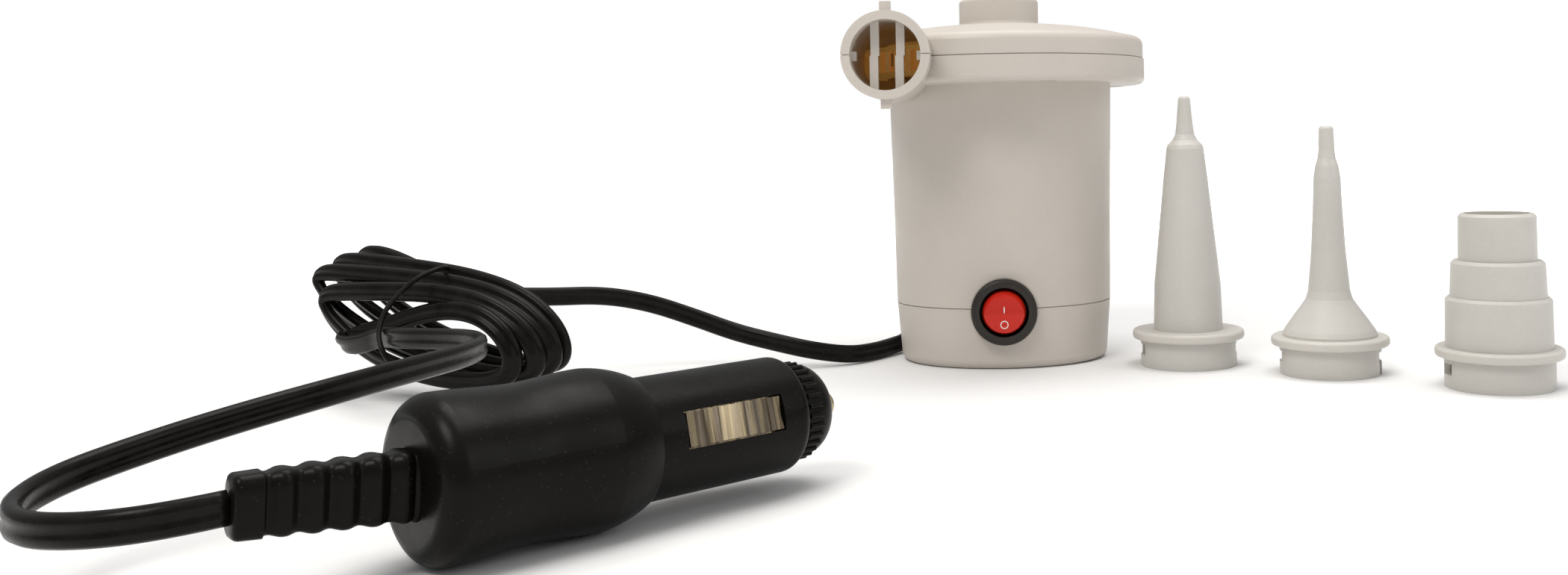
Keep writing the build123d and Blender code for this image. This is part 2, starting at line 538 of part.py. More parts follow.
def tip_contact():
    flange_low = BARREL_END + 3.8
    pin = post(4.6, flange_low, BARREL_END + 11.4)
    pin = fillet(pin.faces().sort_by(Axis.Z)[-1].edges(), 0.9)
    return pin + post(8.4, flange_low, flange_low + 1.2)


def plug_strain_relief():
    """Ribbed tail, rectangular, tapering to the cord and lifted a little at its end."""
    length = RELIEF_RIBS * RELIEF_PITCH
    tail = Pos(0, 0, -length / 2) * Box(4.6, 7.6, length)
    for i in range(RELIEF_RIBS):
        height = 10.6 - 0.38 * i
        width = 7.6 - 0.3 * i
        rib = Pos(0, 0, -RELIEF_PITCH * (i + 0.5) + 0.45) * Box(width, height, 3.1)
        tail += fillet(rib.edges().filter_by(Axis.Z), 1.0)
    return tail


def relief_frame():
    heading, lift = radians(RELIEF_HEADING), radians(RELIEF_LIFT)
    axis = Vector(cos(heading) * cos(lift), sin(heading) * cos(lift), sin(lift))
    side = Vector(sin(heading), -cos(heading), 0)
    return Plane(origin=PLUG_REAR, x_dir=side, z_dir=axis)


def plug_pieces():
    place = Location(plug_frame())
    fuse_low, fuse_high = BARREL_END - 27.4, BARREL_END + 3.8
    save("plug_grip", place * plug_grip())
    save("plug_barrel", place * plug_barrel())
    save("side_contact_right", place * side_contact(1))
    save("side_contact_left", place * side_contact(-1))
    save("plug_cap", place * plug_cap())
    save("tip_contact", place * tip_contact())
    save("plug_washer", place * ring(9.2, 5.4, BARREL_END + 5.15, BARREL_END + 5.5))
    save("fuse_cap_front", place * post(6.3, fuse_high - 6.0, fuse_high))
    save("fuse_glass", place * post(6.0, fuse_low + 6.0, fuse_high - 6.0))
    save("fuse_cap_rear", place * post(6.3, fuse_low, fuse_low + 6.0))
    spring_low = fuse_low - 14.0
    coil = Helix(2.0, 12.6, 2.4)
    wire = sweep(Plane(origin=coil @ 0, z_dir=coil % 0) * Circle(0.35), coil)
    save("fuse_spring", place * Pos(0, 0, spring_low + 0.8) * wire)
    relief = Location(relief_frame()) * plug_strain_relief()
    save("plug_strain_relief", relief - place * post(60.0, 0, 12.0))
    return relief


# ------------------------------------------------------------------ cord
def route_tube(name, points):
    """Round tube along straight runs joined by arcs as large as the runs allow."""
    corners = [Vector(*p) for p in points]
    runs = [(b - a) for a, b in zip(corners, corners[1:])]
    radii = []
    for before, after in zip(runs, runs[1:]):
        turn = radians(before.get_angle(after))
        radii.append(0.45 * min(before.length, after.length) / tan(turn / 2))
    print(name, "radii", [round(r, 1) for r in radii], "runs", [round(r.length, 1) for r in runs])
    path = FilletPolyline(*corners, radius=radii)
    section = Plane(origin=path @ 0, z_dir=path % 0) * Circle(CORD_WIDTH / 2)
    tube = sweep(section, path)
    expected = pi * CORD_WIDTH ** 2 / 4 * path.length
    print(name, "length", round(path.length, 1), "volume ratio", round(tube.volume / expected, 4))
    return tube


def hank_place():
    return Pos(*HANK_CENTRE) * Rot(0, 0, HANK_HEADING)


def hank_section(along, half_depth, half_height, middle):
    plane = Plane(origin=(along, HANK_SHIFT, middle), x_dir=(0, 1, 0), z_dir=(1, 0, 0))
    return plane * Ellipse(half_depth, half_height)


def hank_block():
    """Outer shape of the wound cord: it leans from a raised left end to a right end on the table."""
    return hank_place() * loft([hank_section(*station) for station in HANK_STATIONS])


def twist_tie(hank):
    """Thin wire tie round the waist of the hank."""
    band = extrude(hank_section(TIE_ALONG, *TIE_SECTION), TIE_WIDTH)
    return hank_place() * band - hank


def cord_gland():
    """Boot that turns the cord down along the wall, with a neck through the base cap."""
    exit_plane = Plane(origin=GLAND_EXIT, x_dir=(-0.78, 0.62, 0), z_dir=GLAND_HEADING)
    length = 8.6
    boot = exit_plane * Pos(0, 0, -length / 2) * Box(6.4, 6.4, length)
    boot = fillet(boot.edges().filter_by(lambda e: abs(e.length - length) < 0.01), 1.4)
    neck = Pos(-23.4, 15.4, 9.2) * Rot(0, 0, 144.0) * Box(11.0, 7.0, 3.6)
    inner = Pos(-19.6, 12.7, 9.2) * Rot(0, 0, 144.0) * Box(2.0, 9.6, 5.6)
    return boot + neck + inner


def build():
    gland = cord_gland()
    cap = base_cap() - gland
    save("base_cap", cap)
    housing = main_housing() - gland
    save("main_housing", housing)
    save("upper_housing", upper_housing())
    save("cord_gland", gland)
    for number, (x, y) in enumerate(head_screw_places(), start=1):
        head = post(5.2, HEAD_BOTTOM + 0.3, HEAD_BOTTOM + 2.2, x, y)
        screw = head + post(2.8, HEAD_BOTTOM + 2.0, 88.6, x, y)
        save("head_screw_%d" % number, screw - Pos(x, y, HEAD_BOTTOM) * Box(3.2, 0.8, 2.6))
    for side, name in ((1, "base_screw_right"), (-1, "base_screw_left")):
        x = side * BASE_SCREW_X
        screw = post(5.4, 0.9, 3.0, x) + post(2.8, 2.8, 26.0, x)
        save(name, screw - Pos(x, 0, 0.9) * Box(3.4, 0.8, 2.0))
    motor_pieces()
    save("impeller", impeller())
    save("air_guide", air_guide())
    save("switch_body", switch_body())
    save("switch_rocker", switch_rocker())
    for side, name in ((1, "switch_terminal_right"), (-1, "switch_terminal_left")):
        save(name, Pos(side * 3.2, -10.2, SWITCH_Z) * Box(0.8, 7.4, 4.8))
    save("nozzle_cone", Pos(*CONE_AT, 0) * nozzle_cone())
    save("nozzle_funnel", Pos(*FUNNEL_AT, 0) * nozzle_funnel())
    save("nozzle_stepped", Pos(*STEPPED_AT, 0) * nozzle_stepped())
    relief = plug_pieces()
    hank = hank_block()
    save("cord_hank", hank)
    tie = twist_tie(hank)
    save("twist_tie", tie)
    save("cord_lead", route_tube("cord_lead", LEAD_ROUTE) - hank - tie - gland)
    save("cord_tail", route_tube("cord_tail", TAIL_ROUTE) - hank - tie - relief)


build()
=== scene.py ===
import json
from math import cos, pi, radians, sin, sqrt

import bmesh
import bpy
from mathutils import Matrix, Vector


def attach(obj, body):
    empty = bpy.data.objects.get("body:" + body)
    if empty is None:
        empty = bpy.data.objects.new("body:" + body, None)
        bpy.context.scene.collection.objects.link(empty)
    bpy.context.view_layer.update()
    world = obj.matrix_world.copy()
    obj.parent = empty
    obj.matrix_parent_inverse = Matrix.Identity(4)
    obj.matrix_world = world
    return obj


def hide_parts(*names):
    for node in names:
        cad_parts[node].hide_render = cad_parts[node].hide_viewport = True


# Electric air mattress pump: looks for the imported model.
# Places and routes are in millimetres until MM scales them.
# Lights, camera and textures are in metres.

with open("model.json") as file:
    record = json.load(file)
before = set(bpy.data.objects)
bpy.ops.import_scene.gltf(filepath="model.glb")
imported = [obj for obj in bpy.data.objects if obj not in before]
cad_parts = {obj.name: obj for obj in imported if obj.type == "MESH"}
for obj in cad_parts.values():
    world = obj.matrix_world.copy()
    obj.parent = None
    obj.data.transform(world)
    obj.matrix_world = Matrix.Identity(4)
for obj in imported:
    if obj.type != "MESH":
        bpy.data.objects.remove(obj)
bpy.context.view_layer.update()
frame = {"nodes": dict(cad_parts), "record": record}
NODES = frame["nodes"]
MM = 0.001
UP = Vector((0.0, 0.0, 1.0))
WHITE = (1.0, 1.0, 1.0)


# ------------------------------------------------------------------ camera, floor and light
CAMERA_PLACE = (0.0, -0.4003, 0.063)
CAMERA_HEADING = -0.003          # radians from looking along +Y
CAMERA_ROLL = -0.019
CAMERA_LENS = 31.71
CAMERA_SHIFT = (-0.141, -0.095)
FLOOR_REACH = 6.0
FLOOR_GLOW_CENTRE = (0.0, -0.28, 0.0)
FLOOR_GLOW = (0.40, 0.95)        # distances from that centre where the glow starts and is full
ROOM_HEIGHTS = (-0.1, 0.9)       # upward parts of the direction where each strength is reached
ROOM_LIGHT = (0.16, 0.75)        # strength near the horizon and overhead
LIGHT_TARGET = (-0.02, -0.06, 0.03)


def add_camera():
    """Camera in front of the pump, looking along +Y, rolled a little, with its frame shifted."""
    data = bpy.data.cameras.new("camera")
    data.sensor_width = 36.0
    data.lens = CAMERA_LENS
    data.shift_x, data.shift_y = CAMERA_SHIFT
    data.clip_start = 0.01
    camera = bpy.data.objects.new("camera", data)
    bpy.context.scene.collection.objects.link(camera)
    level = Matrix.Rotation(CAMERA_HEADING, 4, "Z") @ Matrix.Rotation(radians(90), 4, "X")
    look = level @ Matrix.Rotation(CAMERA_ROLL, 4, "Z")
    camera.matrix_world = Matrix.Translation(CAMERA_PLACE) @ look
    bpy.context.scene.camera = camera


def add_light(name, place, size, power, colour=WHITE):
    """Soft box that faces the middle of the scene."""
    data = bpy.data.lights.new(name, "AREA")
    data.shape = "RECTANGLE"
    data.size, data.size_y = size
    data.energy = power
    data.color = colour
    light = bpy.data.objects.new(name, data)
    bpy.context.scene.collection.objects.link(light)
    aim = (Vector(LIGHT_TARGET) - Vector(place)).to_track_quat("-Z", "Y")
    light.matrix_world = Matrix.Translation(place) @ aim.to_matrix().to_4x4()


def floor_material():
    """Matt white that glows away from the object, so that the floor runs into the background."""
    material = bpy.data.materials.new("floor")
    material.use_nodes = True
    tree = material.node_tree
    shader = tree.nodes["Principled BSDF"]
    shader.inputs["Base Color"].default_value = (0.82, 0.82, 0.82, 1)
    shader.inputs["Roughness"].default_value = 0.8
    shader.inputs["Specular IOR Level"].default_value = 0.2
    spot = tree.nodes.new("ShaderNodeTexCoord").outputs["Object"]
    distance = tree.nodes.new("ShaderNodeVectorMath")
    distance.operation = "DISTANCE"
    distance.inputs[1].default_value = FLOOR_GLOW_CENTRE
    tree.links.new(spot, distance.inputs[0])
    far = tree.nodes.new("ShaderNodeMapRange")
    far.interpolation_type = "SMOOTHSTEP"
    far.inputs["From Min"].default_value, far.inputs["From Max"].default_value = FLOOR_GLOW
    tree.links.new(distance.outputs["Value"], far.inputs["Value"])
    tree.links.new(far.outputs["Result"], shader.inputs["Emission Strength"])
    shader.inputs["Emission Color"].default_value = (*WHITE, 1)
    return material


def add_stage():
    """Pale floor, pale surroundings and three soft boxes."""
    mesh = bpy.data.meshes.new("floor")
    signs = ((-1, -1), (1, -1), (1, 1), (-1, 1))
    mesh.from_pydata([(x * FLOOR_REACH, y * FLOOR_REACH, 0) for x, y in signs], [], [(0, 1, 2, 3)])
    floor = bpy.data.objects.new("floor", mesh)
    bpy.context.scene.collection.objects.link(floor)
    mesh.materials.append(floor_material())
    add_surroundings()
    add_light("key", (-0.40, -0.70, 0.90), (0.50, 0.36), 5.0, (1.0, 0.965, 0.91))
    add_light("top", (0.05, 0.10, 1.10), (0.9, 0.6), 7.0, (1.0, 0.98, 0.95))
    add_light("side", (0.95, -0.45, 0.55), (0.4, 0.6), 1.4)
    bpy.context.scene.view_settings.view_transform = "Standard"


def add_surroundings():
    """Room that looks white and throws less light from its sides than from above."""
    world = bpy.data.worlds.new("studio")
    world.use_nodes = True
    tree = world.node_tree
    background = tree.nodes["Background"]
    direction = tree.nodes.new("ShaderNodeTexCoord").outputs["Generated"]
    split = tree.nodes.new("ShaderNodeSeparateXYZ")
    tree.links.new(direction, split.inputs["Vector"])
    fade = tree.nodes.new("ShaderNodeMapRange")
    fade.inputs["From Min"].default_value, fade.inputs["From Max"].default_value = ROOM_HEIGHTS
    fade.inputs["To Min"].default_value, fade.inputs["To Max"].default_value = ROOM_LIGHT
    tree.links.new(split.outputs["Z"], fade.inputs["Value"])
    seen = tree.nodes.new("ShaderNodeLightPath").outputs["Is Camera Ray"]
    choose = tree.nodes.new("ShaderNodeMix")
    choose.inputs["B"].default_value = 1.0
    tree.links.new(seen, choose.inputs["Factor"])
    tree.links.new(fade.outputs["Result"], choose.inputs["A"])
    tree.links.new(choose.outputs["Result"], background.inputs["Strength"])
    background.inputs["Color"].default_value = (*WHITE, 1)
    bpy.context.scene.world = world


# ------------------------------------------------------------------ material kit
MIX_FIRST, MIX_SECOND, MIX_RESULT = 6, 7, 2      # colour sockets of the Mix node
PLUG_HEADING = radians(46.0)


class Paint:
    """Node material with a Principled shader and a few helpers for its textures."""

    def __init__(self, name):
        self.material = bpy.data.materials.new(name)
        self.material.use_nodes = True
        self.tree = self.material.node_tree
        self.shader = self.tree.nodes["Principled BSDF"]
        self.place = self.tree.nodes.new("ShaderNodeTexCoord").outputs["Object"]

    def set(self, **values):
        for name, value in values.items():
            self.shader.inputs[name.replace("_", " ")].default_value = value

    def link(self, output, socket):
        self.tree.links.new(output, socket)

    def node(self, kind, **values):
        made = self.tree.nodes.new("ShaderNode" + kind)
        for name, value in values.items():
            setattr(made, name, value)
        return made

    def stretched(self, scale, turn=(0.0, 0.0, 0.0)):
        """Coordinates scaled along turned axes: under 1 draws a texture out along that axis."""
        mapping = self.node("Mapping", vector_type="TEXTURE")
        mapping.inputs["Scale"].default_value = [1.0 / s for s in scale]
        mapping.inputs["Rotation"].default_value = turn
        self.link(self.place, mapping.inputs["Vector"])
        return mapping.outputs["Vector"]

    def noise(self, scale, detail=3.0, roughness=0.55, vector=None):
        made = self.node("TexNoise")
        made.inputs["Scale"].default_value = scale
        made.inputs["Detail"].default_value = detail
        made.inputs["Roughness"].default_value = roughness
        self.link(vector or self.place, made.inputs["Vector"])
        return made.outputs["Fac"]

    def speckle(self, scale, size):
        """Texture that is 1 on small round spots and 0 elsewhere."""
        made = self.node("TexVoronoi")
        made.inputs["Scale"].default_value = scale
        self.link(self.place, made.inputs["Vector"])
        return self.ramp(made.outputs["Distance"], [(0.0, 1.0), (size, 1.0), (size * 1.6, 0.0)])

    def wave(self, scale, vector, distortion):
        made = self.node("TexWave", wave_type="BANDS", bands_direction="X")
        made.inputs["Scale"].default_value = scale
        made.inputs["Distortion"].default_value = distortion
        self.link(vector, made.inputs["Vector"])
        return made.outputs["Fac"]

    def ramp(self, factor, stops):
        """Stops are (position, value or colour)."""
        made = self.node("ValToRGB")
        while len(made.color_ramp.elements) < len(stops):
            made.color_ramp.elements.new(0.5)
        for element, (position, value) in zip(made.color_ramp.elements, stops):
            element.position = position
            channels = value if isinstance(value, tuple) else (value, value, value)
            element.color = (*channels, 1.0)
        self.link(factor, made.inputs["Fac"])
        return made.outputs["Color"]

    def scaled(self, output, amount):
        made = self.node("Math", operation="MULTIPLY")
        made.inputs[1].default_value = amount
        self.link(output, made.inputs[0])
        return made.outputs["Value"]

    def mix(self, factor, first, second):
        """From the first output to the second, a plain colour, as far as the factor says."""
        made = self.node("Mix", data_type="RGBA")
        self.link(factor, made.inputs["Factor"])
        self.link(first, made.inputs[MIX_FIRST])
        made.inputs[MIX_SECOND].default_value = (*second, 1.0)
        return made.outputs[MIX_RESULT]

    def bump(self, heights):
        """Heights are (texture output, strength, distance in metres), coarse first."""
        normal = None
        for height, strength, distance in heights:
            made = self.node("Bump")
            made.inputs["Strength"].default_value = strength
            made.inputs["Distance"].default_value = distance
            self.link(height, made.inputs["Height"])
            if normal:
                self.link(normal, made.inputs["Normal"])
            normal = made.outputs["Normal"]
        self.link(normal, self.shader.inputs["Normal"])

    def colour(self, output):
        self.link(output, self.shader.inputs["Base Color"])

    def rough(self, factor, low, high):
        self.link(self.ramp(factor, [(0.3, low), (0.7, high)]), self.shader.inputs["Roughness"])


def shade(colour, factor):
    return tuple(min(1.0, channel * factor) for channel in colour)


def moulded(name, colour, rough, grain=2600.0, grain_depth=0.5, dust=0.0, glow=0.0, shine=0.45):
    """Moulded plastic: cloudy colour, spark-eroded grain, uneven gloss, and dust where asked."""
    paint = Paint(name)
    cloud = paint.noise(38.0, 4.0)
    fine = paint.noise(grain, 2.0)
    tone = paint.ramp(cloud, [(0.3, shade(colour, 0.95)), (0.7, shade(colour, 1.04))])
    tone = paint.mix(paint.ramp(fine, [(0.35, 0.0), (0.8, 0.35)]), tone, shade(colour, 0.86))
    if dust:
        specks = paint.scaled(paint.speckle(900.0, 0.09), dust)
        tone = paint.mix(specks, tone, (0.42, 0.39, 0.35))
    paint.colour(tone)
    paint.rough(paint.noise(150.0, 5.0), rough - 0.06, rough + 0.07)
    paint.bump([(cloud, 0.05, 0.0006), (fine, grain_depth, 0.00003)])
    paint.set(Specular_IOR_Level=shine)
    if glow:
        paint.set(Subsurface_Weight=glow, Subsurface_Radius=(0.004, 0.0032, 0.0024),
                  Subsurface_Scale=1.0)
    return paint.material


def cord_vinyl(name):
    """Extruded vinyl: nearly black, scuffed, a little uneven, with a few dust specks."""
    paint = Paint(name)
    base = (0.0046, 0.0038, 0.0031)
    scuff = paint.noise(260.0, 5.0, 0.65)
    fine = paint.noise(3200.0, 2.0)
    tone = paint.ramp(scuff, [(0.35, shade(base, 0.8)), (0.65, shade(base, 1.6))])
    specks = paint.scaled(paint.speckle(1300.0, 0.05), 0.12)
    paint.colour(paint.mix(specks, tone, (0.34, 0.31, 0.27)))
    paint.rough(scuff, 0.22, 0.36)
    paint.bump([(paint.noise(420.0, 3.0), 0.25, 0.00012), (fine, 0.35, 0.00002)])
    paint.set(Specular_IOR_Level=0.12)
    return paint.material


def metal(name, colour, rough, brush=(1.0, 1.0, 1.0), tarnish=0.25):
    """Metal with brush marks drawn out along one axis and cloudy tarnish."""
    paint = Paint(name)
    lines = paint.noise(1500.0, 4.0, 0.7, paint.stretched(brush))
    cloud = paint.noise(120.0, 5.0, 0.6)
    tone = paint.ramp(cloud, [(0.3, shade(colour, 1.0 - tarnish)), (0.65, colour)])
    streaks = paint.ramp(lines, [(0.35, 0.0), (0.75, 0.3)])
    paint.colour(paint.mix(streaks, tone, shade(colour, 0.55)))
    paint.rough(lines, rough * 0.75, rough * 1.4)
    paint.bump([(lines, 0.35, 0.00002), (cloud, 0.08, 0.0002)])
    paint.set(Metallic=1.0)
    return paint.material


def nickel_strip(name):
    """Rolled nickel strip with painted reflections: clouded dark and bright bands lying across the
    plug.
    """
    paint = Paint(name)
    across = paint.stretched((1.0, 0.04, 0.04), (0.0, 0.0, PLUG_HEADING))
    reflection_bands = paint.noise(260.0, 3.0, 0.6, across)
    lines = paint.noise(1900.0, 3.0, 0.7, across)
    # painted reflection: the dark brown, grey and gold bands copy streaks of reflected surroundings
    # into the metal's colour; the fine lines are brush marks
    tone = paint.ramp(reflection_bands, [
        (0.36, (0.12, 0.085, 0.045)), (0.44, (0.36, 0.29, 0.22)), (0.50, (0.15, 0.115, 0.08)),
        (0.56, (0.52, 0.42, 0.26)), (0.64, (0.26, 0.215, 0.165)),
    ])
    paint.colour(paint.mix(paint.ramp(lines, [(0.45, 0.0), (0.85, 0.3)]), tone, (0.70, 0.62, 0.48)))
    paint.rough(lines, 0.14, 0.34)
    paint.bump([(reflection_bands, 0.5, 0.0004), (lines, 0.35, 0.00002)])
    paint.set(Metallic=1.0)
    return paint.material


def copper_wire(name):
    """Enamelled turns wound round the rotor, with painted shade in the grooves between them."""
    paint = Paint(name)
    turns = paint.wave(420.0, paint.stretched((1.0, 1.0, 1.0), (0.0, radians(90), 0.0)), 1.5)
    # painted shade: each turn's colour darkens towards the grooves between turns
    paint.colour(paint.ramp(turns, [(0.1, (0.22, 0.07, 0.02)), (0.6, (0.72, 0.30, 0.11))]))
    paint.rough(turns, 0.25, 0.4)
    paint.bump([(turns, 0.8, 0.0003)])
    paint.set(Metallic=0.9)
    return paint.material


def clear_glass(name):
    """Clear glass with a faint smear."""
    paint = Paint(name)
    smear = paint.noise(90.0, 4.0)
    paint.rough(smear, 0.02, 0.12)
    paint.colour(paint.ramp(smear, [(0.3, (0.90, 0.95, 0.94)), (0.7, (0.97, 0.99, 0.98))]))
    paint.set(Transmission_Weight=0.95, IOR=1.5)
    return paint.material


def amber_plastic(name):
    """Amber plastic with flow clouds and a painted glow: a faint emission stands in for the light
    let in by the shell.
    """
    paint = Paint(name)
    flow = paint.noise(60.0, 5.0, 0.6)
    paint.colour(paint.ramp(flow, [(0.3, (0.52, 0.26, 0.055)), (0.7, (0.66, 0.37, 0.10))]))
    paint.rough(paint.noise(300.0, 4.0), 0.22, 0.36)
    paint.bump([(paint.noise(1800.0, 3.0), 0.2, 0.00003)])
    paint.set(Subsurface_Weight=0.2, Subsurface_Radius=(0.004, 0.002, 0.001), Subsurface_Scale=1.0)
    # painted glow: a faint emission lights the amber, which is no lamp, in place of the light let
    # in by the shell
    paint.set(Emission_Color=(0.62, 0.33, 0.075, 1.0), Emission_Strength=0.13)
    return paint.material


MATERIALS = {
    "housing": moulded("housing_plastic", (0.57, 0.525, 0.475), 0.44, glow=0.06, shine=0.35),
    "nozzle": moulded("nozzle_plastic", (0.57, 0.55, 0.515), 0.40, grain=1800.0, grain_depth=0.35,
                      glow=0.22, shine=0.35),
    "fan_amber": amber_plastic("fan_plastic"),
    "bezel": moulded("bezel_nylon", (0.022, 0.019, 0.016), 0.36, grain_depth=0.4, dust=0.08,
                     shine=0.3),
    "rocker": moulded("rocker_plastic", (0.56, 0.018, 0.008), 0.26, grain_depth=0.15, glow=0.10,
                      shine=0.3),
    "plug_black": moulded("plug_plastic", (0.0042, 0.0037, 0.0031), 0.31, grain=3000.0,
                          grain_depth=0.35, dust=0.04, shine=0.10),
    "cord_black": cord_vinyl("cord_vinyl"),
    "nickel": nickel_strip("nickel_plate"),
    "steel": metal("zinc_steel", (0.60, 0.60, 0.58), 0.32),
    "motor_steel": metal("drawn_steel", (0.56, 0.55, 0.52), 0.30, brush=(1.0, 1.0, 0.08)),
    "magnet": moulded("ferrite", (0.045, 0.045, 0.048), 0.6, grain=1500.0, grain_depth=0.8),
    "copper": copper_wire("copper_wire"),
    "brass": metal("brass_strip", (0.78, 0.58, 0.27), 0.28, brush=(1.0, 0.08, 1.0)),
    "bronze": metal("sintered_bronze", (0.50, 0.34, 0.17), 0.42, tarnish=0.4),
    "glass": clear_glass("fuse_glass"),
    "fibre": moulded("red_fibre", (0.26, 0.075, 0.04), 0.65, grain=1400.0, grain_depth=0.9),
    "carbon": moulded("graphite", (0.018, 0.018, 0.019), 0.5, grain=1500.0, grain_depth=0.6),
}


def dress_cad_nodes():
    """Every CAD node takes the material of its slot in the record."""
    for part in frame["record"]["subparts"]:
        node, slot = NODES[part["node"]], part["material_slot"]
        node.data.materials.clear()
        node.data.materials.append(MATERIALS[slot])


# ------------------------------------------------------------------ mesh kit
def new_piece(name, mesh, slot):
    """Smooth-shaded piece that rides on the pump's body."""
    piece = bpy.data.objects.new(name, mesh)
    bpy.context.scene.collection.objects.link(piece)
    mesh.materials.append(MATERIALS[slot])
    for face in mesh.polygons:
        face.use_smooth = True
    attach(piece, "pump")
    return piece


def skin(rings, loop=False):
    """Mesh through rings of equally many points, capped at its ends unless it loops."""
    count = len(rings[0])
    verts = [tuple(point) for ring in rings for point in ring]
    faces = []
    spans = len(rings) if loop else len(rings) - 1
    for i in range(spans):
        low, high = i * count, (i + 1) % len(rings) * count
        for j in range(count):
            after = (j + 1) % count
            faces.append((low + j, low + after, high + after, high + j))
    if not loop:
        faces.append(tuple(reversed(range(count))))
        faces.append(tuple(range(len(verts) - count, len(verts))))
    mesh = bpy.data.meshes.new("skin")
    mesh.from_pydata(verts, [], faces)
    shell = bmesh.new()
    shell.from_mesh(mesh)
    bmesh.ops.recalc_face_normals(shell, faces=shell.faces)
    shell.to_mesh(mesh)
    shell.free()
    return mesh


def oval(centre, side, other, half_side, half_other, count):
    """Ring of points round an oval that spans the two directions."""
    angles = [2 * pi * k / count for k in range(count)]
    return [centre + side * half_side * cos(a) + other * half_other * sin(a) for a in angles]


def spline_points(points, resolution):
    """Points along the NURBS spline that has these control points."""
    curve = bpy.data.curves.new("route", "CURVE")
    curve.dimensions = "3D"
    spline = curve.splines.new("NURBS")
    spline.points.add(len(points) - 1)
    for target, point in zip(spline.points, points):
        target.co = (*point, 1.0)
    spline.order_u = 3
    spline.use_endpoint_u = True
    spline.resolution_u = resolution
    holder = bpy.data.objects.new("route", curve)
    bpy.context.scene.collection.objects.link(holder)
    bpy.context.view_layer.update()
    evaluated = holder.evaluated_get(bpy.context.evaluated_depsgraph_get())
    line = bpy.data.meshes.new_from_object(evaluated)
    found = [v.co.copy() for v in line.vertices]
    bpy.data.objects.remove(holder)
    bpy.data.curves.remove(curve)
    bpy.data.meshes.remove(line)
    return found


# ------------------------------------------------------------------ cord
CORD_WIDTH = 5.0 * MM
CORD_THICK = 2.7 * MM
CORD_GROOVE = 0.20 * MM
ROUTE_RESOLUTION = 10            # rings of the cord to each control point of its route
LEAD_ROUTE = [
    (-27.2, 15.2, 6.6), (-29.4, 12.5, 3.1), (-33.0, 6.0, 2.7), (-37.4, -3.2, 2.6),
    (-43.8, -11.0, 2.9), (-53.9, -14.2, 4.8), (-64.5, -13.6, 7.3), (-75.5, -11.8, 9.9),
    (-87.0, -12.0, 14.4), (-98.5, -15.5, 19.2), (-110.0, -21.0, 22.2), (-121.5, -29.0, 22.8),
    (-132.0, -37.0, 24.0), (-142.5, -41.5, 26.0),
]
TAIL_ROUTE = [                   # from the plug back to the hank
    (-106.53, -211.25, 14.6), (-112.6, -216.2, 14.1), (-123.4, -217.4, 13.3),
    (-133.9, -213.6, 12.8), (-141.2, -205.0, 13.2), (-142.6, -193.6, 14.5),
    (-137.6, -182.2, 16.3), (-129.2, -172.0, 18.6), (-120.6, -160.6, 20.4),
    (-114.6, -147.0, 21.3), (-111.4, -132.4, 21.3), (-109.9, -117.6, 20.9),
    (-111.6, -103.8, 20.6), (-118.6, -91.6, 20.2), (-130.0, -82.0, 19.4),
    (-143.0, -74.0, 18.6), (-152.0, -63.0, 17.6),
]
HANK_CENTRE = Vector((-145.0, -48.0, 0.0))
HANK_ALONG = Vector((cos(radians(-23.0)), sin(radians(-23.0)), 0.0))
HANK_DEEP = Vector((-HANK_ALONG.y, HANK_ALONG.x, 0.0))
HANK_LEAN = radians(66.0)        # angle between the cord's width and the hank's depth
WIDTH_EASE = 26                  # rings on each side over which a width direction is averaged
TURN_STEPS = 16                  # steps round a turn, counted from its top by way of its left end
CROSSING_STEP = 11               # where a turn starts to ease over to the next
LAST_STEP = 12                   # where the front turn gives way to the last half turn
# Each turn: reach and height of its left end, reach of its right end, how far back it lies.
TURNS = [
    (34.0, 36.8, 40.2, 5.6), (39.0, 35.0, 40.8, 1.6),
    (41.6, 32.2, 39.8, -2.6), (33.6, 27.0, 34.6, -7.4),
]
RIGHT_END_HEIGHT = 9.5
UPPER_HALF = (1.5, 8.2, 26.0)    # a turn's rise above its middle line: left end, centre, right end
LOWER_HALF = (16.0, 12.6, 8.0)   # and its drop below that line
LOWER_LEAN = 0.85                # share of its depth that a turn keeps below
BACK_RISE = 0.16                 # how much higher the lower half lies for each millimetre back


def hank_point(along, deep, height):
    """Place in the hank: along it to the right, back from the camera, and above the table."""
    return HANK_CENTRE + HANK_ALONG * along + HANK_DEEP * deep + UP * height


def blended(low, middle, high, share):
    """From low at share -1, through middle at 0, to high at 1."""
    return middle + (high - middle) * share if share > 0 else middle + (low - middle) * -share


def turn_point(turn, step):
    """Point of a turn that starts on top, goes left, and comes back below and up at the right."""
    left, left_height, right, deep = turn
    angle = pi / 2 + 2 * pi * step / TURN_STEPS
    swing, lift = cos(angle), sin(angle)
    along = (right if swing > 0 else left) * swing
    slope = (left_height - RIGHT_END_HEIGHT) / (left + right)
    middle = RIGHT_END_HEIGHT + slope * (right - along)
    if lift > 0:
        return hank_point(along, deep, middle + blended(*UPPER_HALF, swing) * lift)
    front_turn_deep = TURNS[-1][-1]
    left_drop, centre_drop, right_drop = LOWER_HALF
    rise = BACK_RISE * (deep - front_turn_deep)
    drop = blended(left_drop - rise, centre_drop - rise, right_drop, swing)
    return hank_point(along, deep * LOWER_LEAN, middle + drop * lift)


def hank_points():
    """All the turns, one behind another, each easing forward to the next at its right end."""
    points = []
    for number, turn in enumerate(TURNS):
        after = TURNS[number + 1] if number + 1 < len(TURNS) else None
        for step in range(1, TURN_STEPS):
            point = turn_point(turn, step)
            if after and step > CROSSING_STEP:
                share = (step - CROSSING_STEP) / (TURN_STEPS - CROSSING_STEP)
                point = point.lerp(turn_point(after, step), share)
            if after or step <= LAST_STEP:
                points.append(point)
    return points


